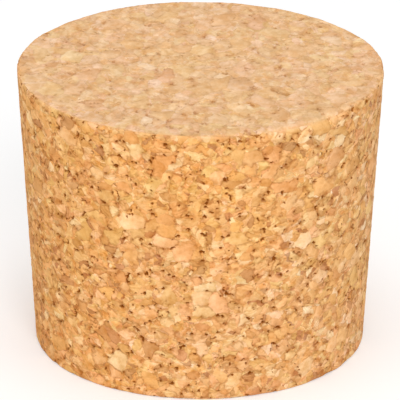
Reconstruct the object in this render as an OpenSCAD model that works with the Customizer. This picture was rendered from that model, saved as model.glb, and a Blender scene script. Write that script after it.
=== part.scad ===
// Tapered stopper, ground from one block of agglomerated cork.
// It stands on its small end, with the axis on Z and the origin at the middle of that end.

/* [Body] */
// Diameter of the large end, where the taper meets the end face
top_diameter = 50.8; // [30:0.1:80]
// Diameter of the small end, where the taper meets the end face
base_diameter = 46.1; // [26:0.1:76]
// Height from one end face to the other
height = 40; // [20:0.5:80]

/* [Edges] */
// Radius of the worn edge round the large end
top_edge_radius = 0.4; // [0.1:0.1:2]
// Radius of the worn edge round the small end
base_edge_radius = 0.5; // [0.1:0.1:2]
// Straight steps that each edge arc is drawn with
edge_steps = 6; // [3:1:16]

/* [Hidden] */

top_radius = top_diameter / 2;
base_radius = base_diameter / 2;
// Lean of the side from upright: positive where the large end is on top
taper_angle = atan2(top_radius - base_radius, height);
cork_colour = [0.87, 0.66, 0.42];
round_steps = 180;

// Points along an arc about centre, from one angle to another
function arc_points(centre, radius, from, to, steps) = [
    for (i = [0 : steps])
        let (angle = from + (to - from) * i / steps)
        centre + radius * [cos(angle), sin(angle)]
];

// Distance from a corner back to where an edge arc leaves the end face,
// for a corner that turns the outline by the given angle
function edge_setback(radius, turn) = radius * tan(turn / 2);

// Half section of the stopper: [distance from the axis, height]
function half_section() =
    let (
        // The outline turns less than a quarter at the small end, and more at the large one
        base_turn = 90 - taper_angle,
        top_turn = 90 + taper_angle,
        base_centre = [base_radius - edge_setback(base_edge_radius, base_turn), base_edge_radius],
        top_centre = [top_radius - edge_setback(top_edge_radius, top_turn), height - top_edge_radius]
    )
    concat(
        [[0, 0]],
        arc_points(base_centre, base_edge_radius, -90, -taper_angle, edge_steps),
        arc_points(top_centre, top_edge_radius, -taper_angle, 90, edge_steps),
        [[0, height]]
    );

// The whole stopper, one solid piece
module cork_stopper() {
    color(cork_colour)
        rotate_extrude($fn = round_steps)
            polygon(half_section());
}

cork_stopper();
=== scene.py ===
import math

import bpy
import bmesh
import numpy as np
from mathutils import Matrix, Vector


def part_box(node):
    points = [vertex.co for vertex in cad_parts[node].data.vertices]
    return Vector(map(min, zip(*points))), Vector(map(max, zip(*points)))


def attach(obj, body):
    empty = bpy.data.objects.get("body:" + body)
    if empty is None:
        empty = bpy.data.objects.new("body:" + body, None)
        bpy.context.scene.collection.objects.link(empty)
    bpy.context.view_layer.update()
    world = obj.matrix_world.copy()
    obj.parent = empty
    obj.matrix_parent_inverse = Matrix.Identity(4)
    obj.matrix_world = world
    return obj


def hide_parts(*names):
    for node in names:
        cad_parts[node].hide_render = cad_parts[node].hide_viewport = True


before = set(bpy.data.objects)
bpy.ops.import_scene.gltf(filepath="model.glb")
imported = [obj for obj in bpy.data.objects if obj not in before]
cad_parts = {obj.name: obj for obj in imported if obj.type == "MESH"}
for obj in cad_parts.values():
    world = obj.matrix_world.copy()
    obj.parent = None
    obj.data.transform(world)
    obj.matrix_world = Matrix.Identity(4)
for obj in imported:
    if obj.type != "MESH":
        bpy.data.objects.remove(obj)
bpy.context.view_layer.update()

scene = bpy.context.scene
nodeLow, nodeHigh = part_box("cork_stopper")
mm = 0.001
halfway = (0.5, 0.5, 0.5)


class Wire:
    # one output socket; plain numbers join through Math nodes, vectors and colours through Vector Math
    def __init__(self, bench, socket):
        self.bench = bench
        self.socket = socket
        self.isVector = socket.type in ("VECTOR", "RGBA")

    def join(self, operation, *others):
        return self.bench.maths(operation, self, *others)

    def __add__(self, other):
        return self.bench.maths("ADD", self, other)

    def __radd__(self, other):
        return self.bench.maths("ADD", other, self)

    def __sub__(self, other):
        return self.bench.maths("SUBTRACT", self, other)

    def __rsub__(self, other):
        return self.bench.maths("SUBTRACT", other, self)

    def __mul__(self, other):
        return self.bench.maths("MULTIPLY", self, other)

    def __rmul__(self, other):
        return self.bench.maths("MULTIPLY", other, self)

    def __truediv__(self, other):
        return self.bench.maths("DIVIDE", self, other)

    def __gt__(self, other):
        return self.bench.maths("GREATER_THAN", self, other)

    def __lt__(self, other):
        return self.bench.maths("LESS_THAN", self, other)

    def least(self, other):
        return self.bench.maths("MINIMUM", self, other)

    def most(self, other):
        return self.bench.maths("MAXIMUM", self, other)


class Bench:
    # a node tree that is being wired up, for a material, the world or Geometry Nodes
    def __init__(self, tree):
        self.tree = tree

    def add(self, kind, settings=None, sockets=None):
        node = self.tree.nodes.new(kind)
        for name, value in (settings or {}).items():
            if name == "stops":
                self.setStops(node.color_ramp.elements, value)
            else:
                setattr(node, name, value)
        for key, value in (sockets or {}).items():
            self.feed(node.inputs[key], value)
        return node

    def setStops(self, elements, stops):
        while len(elements) < len(stops):
            elements.new(0.5)
        for element, (position, colour) in zip(elements, stops):
            element.position = position
            element.color = colour

    def feed(self, socket, value):
        if isinstance(value, Wire):
            self.tree.links.new(value.socket, socket)
        else:
            socket.default_value = value

    def out(self, node, key=0):
        return Wire(self, node.outputs[key])

    def maths(self, operation, *parts):
        isVector = any(isinstance(part, tuple) or isinstance(part, Wire) and part.isVector for part in parts)
        node = self.add("ShaderNodeVectorMath" if isVector else "ShaderNodeMath", {"operation": operation})
        for index, part in enumerate(parts):
            if isVector and isinstance(part, (int, float)):
                part = (part, part, part)
            self.feed(node.inputs[index], part)
        return self.out(node)

    def measure(self, operation, *vectors):
        # a vector sum whose answer is one number
        node = self.add("ShaderNodeVectorMath", {"operation": operation}, dict(enumerate(vectors)))
        return self.out(node, "Value")

    def split(self, vector):
        node = self.add("ShaderNodeSeparateXYZ", None, {0: vector})
        return [self.out(node, axis) for axis in "XYZ"]

    def combine(self, x, y, z):
        return self.out(self.add("ShaderNodeCombineXYZ", None, {0: x, 1: y, 2: z}))

    def blend(self, share, a, b, kind="VECTOR"):
        node = self.add("ShaderNodeMix", {"data_type": kind})
        first, second, result = {"FLOAT": (2, 3, 0), "VECTOR": (4, 5, 1), "RGBA": (6, 7, 2)}[kind]
        self.feed(node.inputs[0], share)
        self.feed(node.inputs[first], a)
        self.feed(node.inputs[second], b)
        return self.out(node, result)

    def ease(self, value, low, high, start=0.0, end=1.0):
        # start up to low, end from high on, and a smooth step between them
        node = self.add("ShaderNodeMapRange", {"interpolation_type": "SMOOTHSTEP"},
                        {"Value": value, "From Min": low, "From Max": high, "To Min": start, "To Max": end})
        return self.out(node, "Result")

    def noise(self, place, perMm, detail=2.0, roughness=0.5, apart=None, key="Fac"):
        # apart moves the place, so that two patterns don't fall together
        node = self.add("ShaderNodeTexNoise", None, {"Vector": place + apart if apart else place,
                        "Scale": perMm, "Detail": detail, "Roughness": roughness})
        return self.out(node, key)

    def cells(self, place, size, feature):
        return self.add("ShaderNodeTexVoronoi", {"feature": feature}, {"Vector": place, "Scale": 1.0 / size})


def linear(hexText):
    channels = [int(hexText[i:i + 2], 16) / 255.0 for i in (0, 2, 4)]
    return tuple(c / 12.92 if c <= 0.04045 else ((c + 0.055) / 1.055) ** 2.4 for c in channels) + (1.0,)


# a tapered block of crushed, pressed cork; lengths are in mm
stopper = {
    # the body
    "largeDiameter": 50.8,        # where the wall meets the large end
    "smallDiameter": 46.1,
    "height": (nodeHigh.z - nodeLow.z) / mm,
    "lean": 0.15,                 # degrees that the large end is out of square
    "edgeRadius": 0.32,           # of the worn edges, on average
    "edgeSpread": (0.5, 1.6),     # share of it where they are worn least, and most
    "scuff": 1.2,                 # more, on one stretch of the large rim
    "scuffTurn": 33.0,            # degrees round to the right, from the front to that stretch
    "scuffFrom": 0.80,            # how nearly a place faces that way where the stretch begins
    # the granules: they fill the whole block, and the surface is a cut through it
    "packing": (1.0, 0.80, 1.15),     # how tightly they are pressed along x, y and the axis
    "endPacking": (0.90, 0.65, 1.0),  # and on the ends, which cut them along their flat sides
    "bigSize": 2.3,               # widths of the three grades
    "mediumSize": 1.6,
    "smallSize": 1.0,
    "bigShare": 0.16,             # share of the big cells that stay whole
    "mediumShare": 0.68,          # share of the rest that stay medium
    "bend": 0.9,                  # how far the outlines wander
    "fray": 0.35,                 # and how far they waver on the way
    "chinkSize": 1.7,             # spacing of the chinks along the seams
    "chinkReach": 0.36,           # half width of the widest chink
    "chinkStretch": 2.2,          # how many times longer than wide a chink is
    "chinkOpen": (0.715, 0.78),   # how open the pack is where chinks begin, and where they are widest
    "seamsGape": (0.44, 0.59),    # the same for the seams
    # the relief that is sunk into the cut surface
    "pitDepth": 0.45,             # of a chink
    "pitSlope": 0.22,             # how far in from its edge a chink has that depth
    "endPits": 0.45,              # share of the depth on the ground ends
    "crownWidth": 0.30,           # from the seam, over which a granule is rounded off
    "grooveDepth": 0.06,          # of the seams that gape
    "unevenness": 0.07,           # how far some granules lie below the others
    "endUnevenness": 0.5,         # share of that on the ground ends
    "rimRelief": 0.4,             # share of all relief that is left at the two rims
    "rimWidth": 1.2,              # over which it dies away
    # the colours
    "palette": [(0.00, "CE9462"), (0.05, "E0A469"), (0.16, "EDB172"), (0.40, "F4BB7B"),
                (0.62, "F8C283"), (0.82, "FCCB90"), (0.94, "FED19B"), (1.00, "FFDAA9")],
    "middleTone": 0.45,           # where on it the ends' granules draw together
    "smallTone": 0.05,            # how much lower on it the small granules lie
    "redToGreen": ((1.035, 0.945, 0.89), (0.965, 1.015, 1.00)),    # casts that granules take
    "pinkToYellow": ((1.01, 0.985, 1.07), (1.00, 1.005, 0.86)),
    "warmToPale": ((1.01, 0.965, 0.89), (0.985, 1.01, 1.10)),      # and broad parts of the block, with painted light making the wall paler towards the right
    "paintedLightRightward": 0.014,           # how fast that painted light pales the wall from left to right, for each mm
    "depthTint": (0.65, 1.0, 1.6),    # how much each of red, green and blue changes with the shade
    "paintedSlantShade": 0.20,                # depth of the painted shade across a granule, darker to one side
    "layers": 0.18,               # of its growth layers
    "layerPace": 26.0,            # how closely those lie
    "layerBend": 7.0,             # and how far they wander
    "mottle": 1.05,               # depth of its clouding
    "pores": 0.10,                # and of its fine pores
    "stain": (0.94, 0.80, 0.58),  # what is left of the colour where the glue has darkened it
    "stainPatches": (0.46, 0.62),     # where in a cloudy pattern that begins, and is whole
    "stainShare": (0.35, 0.40, 0.25),    # of it on the wall, and more on small granules and on the ends
    "seam": (0.52, 0.36, 0.20),   # what is left of the colour in a seam, and in the painted shadow round a chink
    "seamWidth": (0.12, 0.22),    # half width of a tight seam, and of one that gapes
    "seamDepth": (0.12, 0.64),    # and how dark they are
    "smallSeams": 0.6,            # share of that round the small granules
    "pit": "9C5610",              # painted shade at the bottom of a chink
    "pitShadeCover": 0.9,              # and how far that painted shade hides the cork's own colour
    "pitShadow": 0.35,            # how dark the painted shadow round a chink is
    "shadowReach": 0.28,          # how far out
    "shadowOpen": (0.64, 0.71),   # and how open the pack is where that begins, and is whole
    # the skin
    "skinRelief": 0.025,          # of the fine roughness
    "crownRelief": 0.05,          # that each granule is rounded off towards its seams
    "roughness": 0.80,
    "roughSpread": 0.25,          # how much that changes over a granule
    "roughPit": 0.12,             # and how much rougher a chink is
    # how grinding has changed the ends, and the painted sheen that pales them
    "endEvenness": 0.45,          # how much less the granules differ
    "endBlend": 0.20,             # how far dust evens the colours out
    "endDust": "F0B679",
    "endDustAndSheenTint": (0.978, 1.160, 1.64),  # and how dust and a painted sheen pale them
    "endSeams": 0.45,             # how much of the seams' darkness is left
    "endChinks": 0.34,            # of the chinks' painted shade and shadow
    "endMottle": 0.8,             # and of the granules' own shading
    "endClouds": 0.9,             # how strong the broad soft patches are
    "wornBand": 0.7,              # width on both sides of the large rim that handling has blended
    "wornPallor": 0.40,           # how near its colour comes to the end's
    # the mesh
    "spacing": 0.12,              # of the grid that the relief is pressed into
    "triangles": 190000,
    "mapGap": 0.9,                # between the parts of the flat map
}


def grade(bench, place, size):
    near = bench.cells(place, size, "F1")
    following = bench.cells(place, size, "F2")
    edge = (bench.out(following, "Distance") - bench.out(near, "Distance")) * (size / 2.0)
    return bench.out(near, "Color"), bench.out(near, "Position"), edge


def wallToEnd(bench, onEnd, share):
    # 1 on the wall, and share on the ends
    return bench.ease(onEnd, 0.0, 1.0, 1.0, share)


def granuleField(bench, spot, onEnd):
    # big cells that aren't whole fall into medium ones, and those into small ones
    s = stopper
    place = spot * bench.blend(onEnd > 0.5, s["packing"], s["endPacking"])
    wander = bench.noise(place, perMm=0.40, detail=1.0, key="Color") - halfway
    waver = bench.noise(place, perMm=1.3, detail=3.0, roughness=0.6, key="Color") - halfway
    bent = place + wander * (2.0 * s["bend"]) + waver * (2.0 * s["fray"])
    bigTone, bigSeed, bigEdge = grade(bench, bent, s["bigSize"])
    mediumTone, mediumSeed, mediumEdge = grade(bench, bent, s["mediumSize"])
    smallTone, smallSeed, smallEdge = grade(bench, bent, s["smallSize"])
    mediumTone = bench.maths("FRACTION", mediumTone + bigTone)
    smallTone = bench.maths("FRACTION", smallTone + mediumTone)
    mediumEdge = mediumEdge.least(bigEdge)
    smallEdge = smallEdge.least(mediumEdge)
    isBig = bench.split(bigTone)[0] < s["bigShare"]
    isMedium = bench.split(mediumTone)[0] < s["mediumShare"]
    edge = bench.blend(isBig, bench.blend(isMedium, smallEdge, mediumEdge, "FLOAT"), bigEdge, "FLOAT")

    # a chink is left along a gaping seam, where that crosses the faces of one more set of cells
    chinkEdge = grade(bench, bent + (37.0, 11.0, 5.0), s["chinkSize"])[2] / s["chinkStretch"]
    gape = bench.ease(bench.noise(place, perMm=0.7, roughness=0.6, apart=(3.0, 41.0, 7.0)), *s["seamsGape"])
    openness = bench.noise(place, perMm=1.5, detail=1.0, apart=(9.0, 4.0, 17.0)) + gape * 0.10
    reach = bench.ease(openness, *s["chinkOpen"], 0.0, s["chinkReach"])
    return {
        "place": place,
        "tone": bench.blend(isBig, bench.blend(isMedium, smallTone, mediumTone), bigTone),
        "fromSeed": bent - bench.blend(isBig, bench.blend(isMedium, smallSeed, mediumSeed), bigSeed),
        "edge": edge,             # mm to the nearest seam
        "clumpTone": bigTone,
        "isSmall": (1.0 - isBig) * (1.0 - isMedium),
        "gape": gape,
        "openness": openness,
        "chink": reach * gape - edge.most(chinkEdge),      # mm inside a chink, and below 0 outside
    }


def granuleColour(bench, f, onEnd):
    # every granule has a tone of its own, and leans to red or green, and to pink or yellow
    s = stopper
    pick, tone, shade = bench.split(f["tone"])
    evenness = onEnd * s["endEvenness"]
    tone = bench.blend(evenness, tone, s["middleTone"], "FLOAT")
    stops = [(at, linear(colour)) for at, colour in s["palette"]]
    ramp = bench.add("ShaderNodeValToRGB", {"stops": stops}, {"Fac": tone - f["isSmall"] * s["smallTone"]})
    # the fractions stir a granule's chance numbers up, so that its casts don't follow its tone
    cast = bench.blend(evenness, (pick * 7.31 + shade * 3.17).join("FRACT"), s["middleTone"], "FLOAT")
    warmth = (bench.split(f["clumpTone"])[1] * 5.7 + pick * 0.5).join("FRACT")
    colour = bench.out(ramp, "Color") * bench.blend(cast, *s["redToGreen"])
    colour = colour * bench.blend(warmth, *s["pinkToYellow"])
    region = bench.noise(f["place"], perMm=0.035, detail=1.0, apart=(31.0, 7.0, 3.0))
    # painted light: the wall is paler towards the right, added to the broad patches
    region = region + bench.split(f["place"])[0] * s["paintedLightRightward"]
    drift = bench.blend(onEnd, bench.ease(region, 0.30, 0.70), 0.5, "FLOAT")
    return colour * bench.blend(drift, *s["warmToPale"])


def granuleToneAndShade(bench, f, mottle, onEnd):
    # painted shade: each granule is darker to one side along a random direction, for the relief of its face,
    # and its real growth layers cross it along that direction
    s = stopper
    place = f["place"]
    across = bench.measure("DOT_PRODUCT", f["fromSeed"], f["tone"] - halfway)
    layers = (across * s["layerPace"] + bench.noise(place, perMm=1.2) * s["layerBend"]).join("SINE")
    layers = layers * bench.split(f["tone"])[0] * s["layers"]
    level = across * s["paintedSlantShade"] + layers + (mottle - 0.5) * s["mottle"]
    pores = bench.noise(place, perMm=5.5, roughness=0.6)
    level = level - bench.ease(pores, 0.30, 0.42, s["pores"], 0.0)
    cloud = bench.noise(place, perMm=0.42, detail=3.0, roughness=0.6, apart=(61.0, 13.0, 29.0))
    endLevel = level * s["endMottle"] + (cloud - 0.5) * s["endClouds"]
    return bench.blend(onEnd, level, endLevel, "FLOAT")


def stained(bench, colour, f, onEnd):
    # the glue has darkened some patches, and the small granules most
    s = stopper
    pattern = bench.noise(f["place"], perMm=0.8, detail=3.0, roughness=0.65, apart=(5.0, 23.0, 11.0))
    onWall, moreOnSmall, moreOnEnds = s["stainShare"]
    share = onWall + f["isSmall"] * moreOnSmall + onEnd * moreOnEnds
    share = share * bench.ease(pattern, *s["stainPatches"])
    return bench.blend(share, colour, colour * s["stain"], "RGBA")


def dustedAndSheened(bench, colour, onEnd):
    s = stopper
    # painted sheen: the ground ends are evened out by dust and paled as if by light at a grazing angle
    dustAndSheen = bench.blend(s["endBlend"], colour, linear(s["endDust"]), "RGBA") * s["endDustAndSheenTint"]
    return bench.blend(onEnd, colour, dustAndSheen, "RGBA")


def seamed(bench, colour, f, pit, onEnd):
    # dark seams where granules meet, then painted shadow round the chinks and painted shade at their bottoms
    s = stopper
    width = bench.blend(f["gape"], *s["seamWidth"], "FLOAT")
    depth = bench.blend(f["gape"], *s["seamDepth"], "FLOAT")
    depth = depth * bench.blend(f["isSmall"], 1.0, s["smallSeams"], "FLOAT")
    depth = depth * wallToEnd(bench, onEnd, s["endSeams"])
    seam = bench.ease(f["edge"] / width, 0.0, 1.0, depth, 0.0)
    colour = bench.blend(seam, colour, colour * s["seam"], "RGBA")
    # painted shadow round an open chink, then painted shade at its bottom, both weaker on the ends
    clear = wallToEnd(bench, onEnd, s["endChinks"])
    shadow = bench.ease(f["chink"], -s["shadowReach"], 0.0) * bench.ease(f["openness"], *s["shadowOpen"])
    colour = bench.blend(shadow * clear * s["pitShadow"], colour, colour * s["seam"], "RGBA")
    return bench.blend(pit * clear * s["pitShadeCover"], colour, linear(s["pit"]), "RGBA")


def skinNormal(bench, f, mottle):
    s = stopper
    skin = bench.noise(f["place"], perMm=9.0, detail=3.0, roughness=0.6)
    crown = bench.ease(f["edge"], 0.0, s["crownWidth"])
    height = (skin + mottle) * s["skinRelief"] + crown * s["crownRelief"]
    bump = bench.add("ShaderNodeBump", None, {"Strength": 1.0, "Distance": mm, "Height": height})
    return bench.out(bump)


def corkMaterial():
    s = stopper
    material = bpy.data.materials.new("cork")
    material.use_nodes = True
    material.node_tree.nodes.clear()
    bench = Bench(material.node_tree)
    spot = bench.out(bench.add("ShaderNodeAttribute", {"attribute_name": "grainPlace"}), "Vector")
    onEnd = bench.out(bench.add("ShaderNodeAttribute", {"attribute_name": "onEnd"}), "Fac")
    f = granuleField(bench, spot, onEnd)
    mottle = bench.noise(f["place"], perMm=0.8, detail=4.0, roughness=0.58)
    # how far inside a chink: the painted shade at its bottom follows this, and so does its roughness
    pit = bench.ease(f["chink"], -0.04, 0.10)
    level = granuleToneAndShade(bench, f, mottle, onEnd)
    colour = granuleColour(bench, f, onEnd) * (1.0 + level * s["depthTint"])
    colour = stained(bench, colour, f, onEnd)
    colour = dustedAndSheened(bench, colour, onEnd)
    colour = seamed(bench, colour, f, pit, onEnd)
    roughness = s["roughness"] + (mottle - 0.5) * s["roughSpread"] + pit * s["roughPit"]
    shader = bench.add("ShaderNodeBsdfPrincipled", None, {"Base Color": colour, "Roughness": roughness,
                       "Specular IOR Level": 0.1, "Normal": skinNormal(bench, f, mottle)})
    bench.add("ShaderNodeOutputMaterial", None, {"Surface": bench.out(shader)})
    print("cork stopper: finish ready")
    return material


def roundedOff(x, y):
    # the square rings of a block become circles: which ring a place is on, and which way it lies
    ring = x.join("ABSOLUTE").most(y.join("ABSOLUTE"))
    wayX = (x / ring * (math.pi / 4.0)).join("TANGENT")
    wayY = (y / ring * (math.pi / 4.0)).join("TANGENT")
    wayLength = (wayX * wayX + wayY * wayY).join("SQRT").most(0.5)
    return ring, wayX / wayLength, wayY / wayLength


def wornRims(bench, given, outward, up, wayX, wayY):
    # wear rounds both edges, more in some places than in others
    s = stopper
    large, small, height = given["Large radius"], given["Small radius"], given["Height"]
    slope = (large - small) / height
    sine = slope.join("ARCTANGENT").join("SINE")
    cosine = slope.join("ARCTANGENT").join("COSINE")
    wear = bench.noise(bench.combine(wayX * large, wayY * large, up), perMm=0.22)
    baseWear = given["Edge radius"] * bench.ease(wear, 0.3, 0.7, *s["edgeSpread"])
    turn = math.radians(s["scuffTurn"])
    facing = wayX * math.sin(turn) - wayY * math.cos(turn)
    topWear = baseWear + bench.ease(facing, s["scuffFrom"], 1.0, 0.0, given["Scuff radius"])
    rims = ((1.0, large, height, topWear), (-1.0, small, height * 0.0, baseWear))
    for side, endRadius, endHeight, radius in rims:
        centreOut = endRadius - radius * slope * side - radius / cosine
        centreUp = endHeight - radius * side
        dOut = outward - centreOut
        dUp = up - centreUp
        pastWall = (dOut * sine + dUp * cosine) * side > 0.0
        rounded = pastWall * (dOut > 0.0)
        reach = radius / (dOut * dOut + dUp * dUp).join("SQRT").most(0.0001)
        outward = bench.blend(rounded, outward, centreOut + dOut * reach, "FLOAT")
        up = bench.blend(rounded, up, centreUp + dUp * reach, "FLOAT")
    return outward, up


def endShares(bench, given, place, normal):
    # how far a place has the ends' finish, and how much of the relief it keeps near a rim
    s = stopper
    large, small, height = given["Large radius"], given["Small radius"], given["Height"]
    placeX, placeY, placeZ = bench.split(place)
    fromTop = height - given["Lean slope"] * placeX - placeZ
    fromAxis = (placeX * placeX + placeY * placeY).join("SQRT")
    fromWall = small + (large - small) / height * placeZ - fromAxis
    ragged = bench.noise(place, perMm=0.9) - 0.5
    worn = bench.ease(fromTop / s["wornBand"] + ragged, 0.0, 1.0, s["wornPallor"], 0.0)
    whole = bench.ease(fromWall, 0.1, s["wornBand"], s["wornPallor"], 1.0)
    upright = bench.split(normal)[2].join("ABSOLUTE")
    onEnd = (bench.ease(upright, 0.6, 0.95) * whole).most(worn)
    fromRim = fromTop.least(placeZ).most(fromWall)
    rimShare = bench.ease(fromRim, 0.0, s["rimWidth"], s["rimRelief"], 1.0)
    return onEnd, rimShare


def reliefOf(bench, f, onEnd, rimShare):
    # how far the cut surface is sunk below the ground one, in mm
    s = stopper
    pit = bench.ease(f["chink"], -0.03, s["pitSlope"], 0.0, s["pitDepth"])
    pit = pit * wallToEnd(bench, onEnd, s["endPits"])
    groove = bench.ease(f["edge"], 0.0, s["crownWidth"], 1.0, 0.0) * f["gape"] * s["grooveDepth"]
    shade = bench.split(f["tone"])[2]
    rough = shade * s["unevenness"] * wallToEnd(bench, onEnd, s["endUnevenness"])
    return (rough + groove + pit) * rimShare


def keptField(bench, geometry, kind, name, value):
    stored = bench.add("GeometryNodeStoreNamedAttribute", {"data_type": kind},
                       {"Geometry": geometry, "Name": name, "Value": value})
    return bench.out(stored)


def stopperTree():
    tree = bpy.data.node_groups.new("stopperBody", "GeometryNodeTree")
    bench = Bench(tree)
    kinds = {"Large radius": "Float", "Small radius": "Float", "Height": "Float", "Edge radius": "Float",
             "Scuff radius": "Float", "Lean slope": "Float", "Steps across": "Int", "Steps up": "Int",
             "Material": "Material"}
    for name, kind in kinds.items():
        tree.interface.new_socket(name, in_out="INPUT", socket_type="NodeSocket" + kind)
    tree.interface.new_socket("Geometry", in_out="OUTPUT", socket_type="NodeSocketGeometry")
    group = bench.add("NodeGroupInput")
    given = {name: bench.out(group, name) for name in kinds}
    large, small, height = given["Large radius"], given["Small radius"], given["Height"]

    # a finely divided block, bent round
    block = bench.add("GeometryNodeMeshCube", None, {"Size": (2.0, 2.0, 1.0),
                      "Vertices X": given["Steps across"], "Vertices Y": given["Steps across"],
                      "Vertices Z": given["Steps up"]})
    x, y, z = bench.split(bench.out(bench.add("GeometryNodeInputPosition")))
    ring, wayX, wayY = roundedOff(x, y)
    share = z + 0.5
    outward = (small + (large - small) * share) * ring
    outward, up = wornRims(bench, given, outward, share * height, wayX, wayY)
    up = up - given["Lean slope"] * outward * wayX * share
    turned = bench.add("GeometryNodeSetPosition", None, {"Geometry": bench.out(block, "Mesh"),
                       "Position": bench.combine(outward * wayX, outward * wayY, up)})

    # the places before the relief are kept, because the finish is laid out by them
    place = bench.out(bench.add("GeometryNodeInputPosition"))
    normal = bench.out(bench.add("GeometryNodeInputNormal"))
    onEnd, rimShare = endShares(bench, given, place, normal)
    kept = keptField(bench, bench.out(turned), "FLOAT_VECTOR", "grainPlace", place)
    kept = keptField(bench, kept, "FLOAT", "onEnd", onEnd)
    relief = reliefOf(bench, granuleField(bench, place, onEnd), onEnd, rimShare)
    pressed = bench.add("GeometryNodeSetPosition", None,
                        {"Geometry": kept, "Offset": normal * (relief * -1.0)})
    real = bench.add("GeometryNodeRealizeInstances", None, {"Geometry": bench.out(pressed)})
    painted = bench.add("GeometryNodeSetMaterial", None,
                        {"Geometry": bench.out(real), "Material": given["Material"]})
    bench.add("NodeGroupOutput", None, {"Geometry": bench.out(painted)})
    return tree


def shapedMesh(material):
    s = stopper
    blank = bpy.data.objects.new("blank", bpy.data.meshes.new("blank"))
    scene.collection.objects.link(blank)
    body = blank.modifiers.new("stopperBody", "NODES")
    body.node_group = stopperTree()
    across = round(math.pi * s["largeDiameter"] / 4.0 / s["spacing"]) + 1
    upward = round(s["height"] / s["spacing"]) + 1
    values = {"Large radius": s["largeDiameter"] / 2.0, "Small radius": s["smallDiameter"] / 2.0,
              "Height": s["height"], "Edge radius": s["edgeRadius"], "Scuff radius": s["scuff"],
              "Lean slope": math.tan(math.radians(s["lean"])), "Steps across": across,
              "Steps up": upward, "Material": material}
    for item in body.node_group.interface.items_tree:
        if item.in_out == "INPUT":
            body[item.identifier] = values[item.name]
    # flat stretches give their triangles up, and pits and seams keep theirs
    squares = 2 * (across - 1) ** 2 + 4 * (across - 1) * (upward - 1)
    thin = blank.modifiers.new("thin", "DECIMATE")
    thin.ratio = s["triangles"] / (2.0 * squares)
    thin.use_collapse_triangulate = True
    mesh = bpy.data.meshes.new_from_object(blank.evaluated_get(bpy.context.evaluated_depsgraph_get()))
    bpy.data.objects.remove(blank)
    print("cork stopper: shaped,", len(mesh.polygons), "triangles")
    return mesh


def outwardAt(spot):
    s = stopper
    reach = math.hypot(spot.x, spot.y)
    wall = s["smallDiameter"] / 2.0 + (s["largeDiameter"] - s["smallDiameter"]) / 2.0 * spot.z / s["height"]
    depths = {(0.0, 0.0, 1.0): s["height"] - spot.z, (0.0, 0.0, -1.0): spot.z,
              (spot.x / max(reach, 0.001), spot.y / max(reach, 0.001), 0.0): wall - reach}
    return Vector(min(depths, key=depths.get))


def unfold(mesh):
    # thinning turns a few tiny triangles over; their corners are drawn back between their neighbours
    bm = bmesh.new()
    bm.from_mesh(mesh)
    grain = bm.verts.layers.float_vector["grainPlace"]
    for attempt in range(6):
        bm.normal_update()
        folded = [face for face in bm.faces
                  if face.normal.dot(outwardAt(face.calc_center_median())) < 0.1]
        if not folded:
            break
        moved = {}
        for vert in {vert for face in folded for vert in face.verts}:
            near = [edge.other_vert(vert) for edge in vert.link_edges]
            spotNow = sum((other.co for other in near), Vector()) / len(near)
            grainNow = sum((other[grain] for other in near), Vector()) / len(near)
            moved[vert] = (spotNow, grainNow)
        for vert, (spotNow, grainNow) in moved.items():
            vert.co = spotNow
            vert[grain] = grainNow
    for vert in bm.verts:
        vert.co.z = max(vert.co.z, 0.0)      # thinning leaves a few corners a hair under the base
    bm.to_mesh(mesh)
    bm.free()
    print("cork stopper: folds drawn out")


def cornerPlaces(mesh):
    # where each triangle's three corners lay before the relief
    places = np.empty(len(mesh.vertices) * 3, np.float32)
    mesh.attributes["grainPlace"].data.foreach_get("vector", places)
    corners = np.empty(len(mesh.loops), np.int32)
    mesh.loops.foreach_get("vertex_index", corners)
    return places.reshape(-1, 3)[corners].reshape(-1, 3, 3)


def layOut(mesh):
    # a flat map for a baked finish: the wall as three strips side by side, and above them the two ends
    s = stopper
    height, gap = s["height"], s["mapGap"]
    largeRadius, smallRadius = s["largeDiameter"] / 2.0, s["smallDiameter"] / 2.0
    places = cornerPlaces(mesh)
    x, y, z = places[..., 0], places[..., 1], places[..., 2]
    middle = places.mean(1, keepdims=True)
    middleX, middleY, middleZ = middle[..., 0], middle[..., 1], middle[..., 2]
    wall = smallRadius + (largeRadius - smallRadius) * middleZ / height
    fromWall = wall - np.hypot(middleX, middleY)
    onTop = height - middleZ < fromWall
    onBase = middleZ < fromWall

    # the wall, from the middle of the front round to both sides
    third = math.pi * 2.0 / 3.0
    stripSpan = third * largeRadius
    strip = np.floor((np.arctan2(middleX, -middleY) + third / 2.0) / third)    # -1, 0 or 1
    angle = np.arctan2(x, -y) - strip * third
    angle = (angle + math.pi) % (math.pi * 2.0) - math.pi
    across = gap + (strip % 3.0) * (height + gap) + z
    along = gap + stripSpan / 2.0 - angle * largeRadius

    # the ends, each turned to be seen from outside
    across = np.where(onTop, gap + largeRadius + x, across)
    across = np.where(~onTop & onBase, gap * 3.0 + largeRadius * 3.0 - x, across)
    along = np.where(onTop | onBase, stripSpan + gap * 3.0 + largeRadius + y, along)

    width = 3.0 * height + 4.0 * gap
    flat = np.stack((across, along), -1) / width
    layer = mesh.uv_layers.new(name="OFBake")
    layer.data.foreach_set("uv", flat.astype(np.float32).ravel())
    print("cork stopper: laid out flat")


def stopperPiece():
    mesh = shapedMesh(corkMaterial())
    unfold(mesh)
    layOut(mesh)
    mesh.transform(Matrix.Scale(mm, 4))
    mesh.shade_smooth()
    piece = bpy.data.objects.new("corkStopper", mesh)
    scene.collection.objects.link(piece)
    return piece


piece = stopperPiece()
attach(piece, "root")
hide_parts("cork_stopper")


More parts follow.
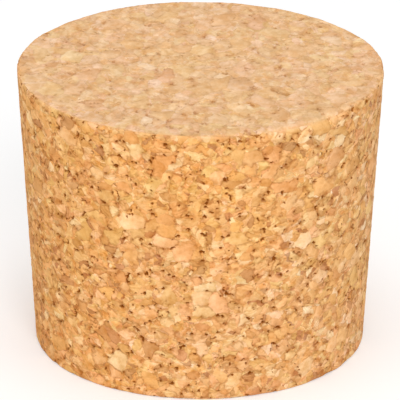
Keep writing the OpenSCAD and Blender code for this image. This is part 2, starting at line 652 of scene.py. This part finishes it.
studio = {
    "elevation": 23.05,        # degrees that the camera looks down
    "roll": 0.2,               # and that it is turned about its own line of sight
    "distance": 0.757,         # m
    "lens": 487.8,             # mm
    "aimHeight": 0.01999,
    "worldLight": 0.60,
    "floorSize": 4.0,          # half its width
    "floorLight": 0.85,        # how pale the floor is to the object
    "floorSeen": 0.80,         # and to the camera, with a glow that makes up the rest of white
    "floorGlow": 0.28,
    "farGlow": 0.54,           # the same glow well away from the object, where the lamps give less
    "glowRises": (0.15, 1.0),  # how far out that change begins and ends
}


def makeCamera():
    data = bpy.data.cameras.new("camera")
    data.sensor_width = 36.0
    data.lens = studio["lens"]
    data.clip_end = 10.0
    camera = bpy.data.objects.new("camera", data)
    scene.collection.objects.link(camera)
    lift, roll = math.radians(studio["elevation"]), math.radians(studio["roll"])
    aim = Vector((0.0, 0.0, studio["aimHeight"]))
    camera.location = aim + studio["distance"] * Vector((0.0, -math.cos(lift), math.sin(lift)))
    turn = Matrix.Rotation(math.radians(90.0) - lift, 3, "X") @ Matrix.Rotation(roll, 3, "Z")
    camera.rotation_euler = turn.to_euler()
    scene.camera = camera
    print("studio: camera set")


def seenDirectly(bench):
    path = bench.add("ShaderNodeLightPath")
    seen = bench.out(path, "Is Camera Ray").most(bench.out(path, "Is Glossy Ray"))
    return seen.most(bench.out(path, "Is Transmission Ray"))


def makeWorld():
    world = bpy.data.worlds.new("studio")
    scene.world = world
    world.use_nodes = True
    world.node_tree.nodes.clear()
    bench = Bench(world.node_tree)
    strength = bench.blend(seenDirectly(bench), studio["worldLight"], 1.0, "FLOAT")
    light = bench.add("ShaderNodeBackground", None, {"Color": (1.0, 1.0, 1.0, 1.0), "Strength": strength})
    bench.add("ShaderNodeOutputWorld", None, {"Surface": bench.out(light)})


def floorMaterial():
    material = bpy.data.materials.new("floor")
    material.use_nodes = True
    material.node_tree.nodes.clear()
    bench = Bench(material.node_tree)
    seen = seenDirectly(bench)
    pale = bench.blend(seen, studio["floorLight"], studio["floorSeen"], "FLOAT")
    matt = bench.add("ShaderNodeBsdfDiffuse", None, {"Color": bench.combine(pale, pale, pale)})
    far = bench.measure("LENGTH", bench.out(bench.add("ShaderNodeTexCoord"), "Object"))
    strength = bench.ease(far, *studio["glowRises"], studio["floorGlow"], studio["farGlow"])
    glow = bench.add("ShaderNodeEmission", None, {"Strength": seen * strength})
    both = bench.add("ShaderNodeAddShader", None, {0: bench.out(matt), 1: bench.out(glow)})
    bench.add("ShaderNodeOutputMaterial", None, {"Surface": bench.out(both)})
    return material


def makeFloor():
    bm = bmesh.new()
    bmesh.ops.create_grid(bm, x_segments=1, y_segments=1, size=studio["floorSize"])
    mesh = bpy.data.meshes.new("floor")
    bm.to_mesh(mesh)
    bm.free()
    mesh.materials.append(floorMaterial())
    floor = bpy.data.objects.new("floor", mesh)
    scene.collection.objects.link(floor)


def makeLamp(name, azimuth, elevation, size, power, distance=1.2):
    # azimuth 0 stands behind the camera, and positive swings to its right
    turn, lift = math.radians(azimuth), math.radians(elevation)
    aim = Vector((0.0, 0.0, studio["aimHeight"]))
    away = Vector((math.sin(turn) * math.cos(lift), -math.cos(turn) * math.cos(lift), math.sin(lift)))
    data = bpy.data.lights.new(name, "AREA")
    data.shape = "DISK"
    data.size = size
    data.energy = power
    lamp = bpy.data.objects.new(name, data)
    lamp.location = aim + away * distance
    lamp.rotation_euler = away.to_track_quat("Z", "Y").to_euler()
    scene.collection.objects.link(lamp)


makeCamera()
makeWorld()
makeFloor()
makeLamp("key", azimuth=11.0, elevation=35.0, size=0.4, power=3.5)
makeLamp("fill", azimuth=-5.0, elevation=8.0, size=0.4, power=2.1)
makeLamp("overhead", azimuth=0.0, elevation=85.0, size=0.8, power=3.4)
scene.view_settings.view_transform = "Standard"
print("studio: floor and lights set")
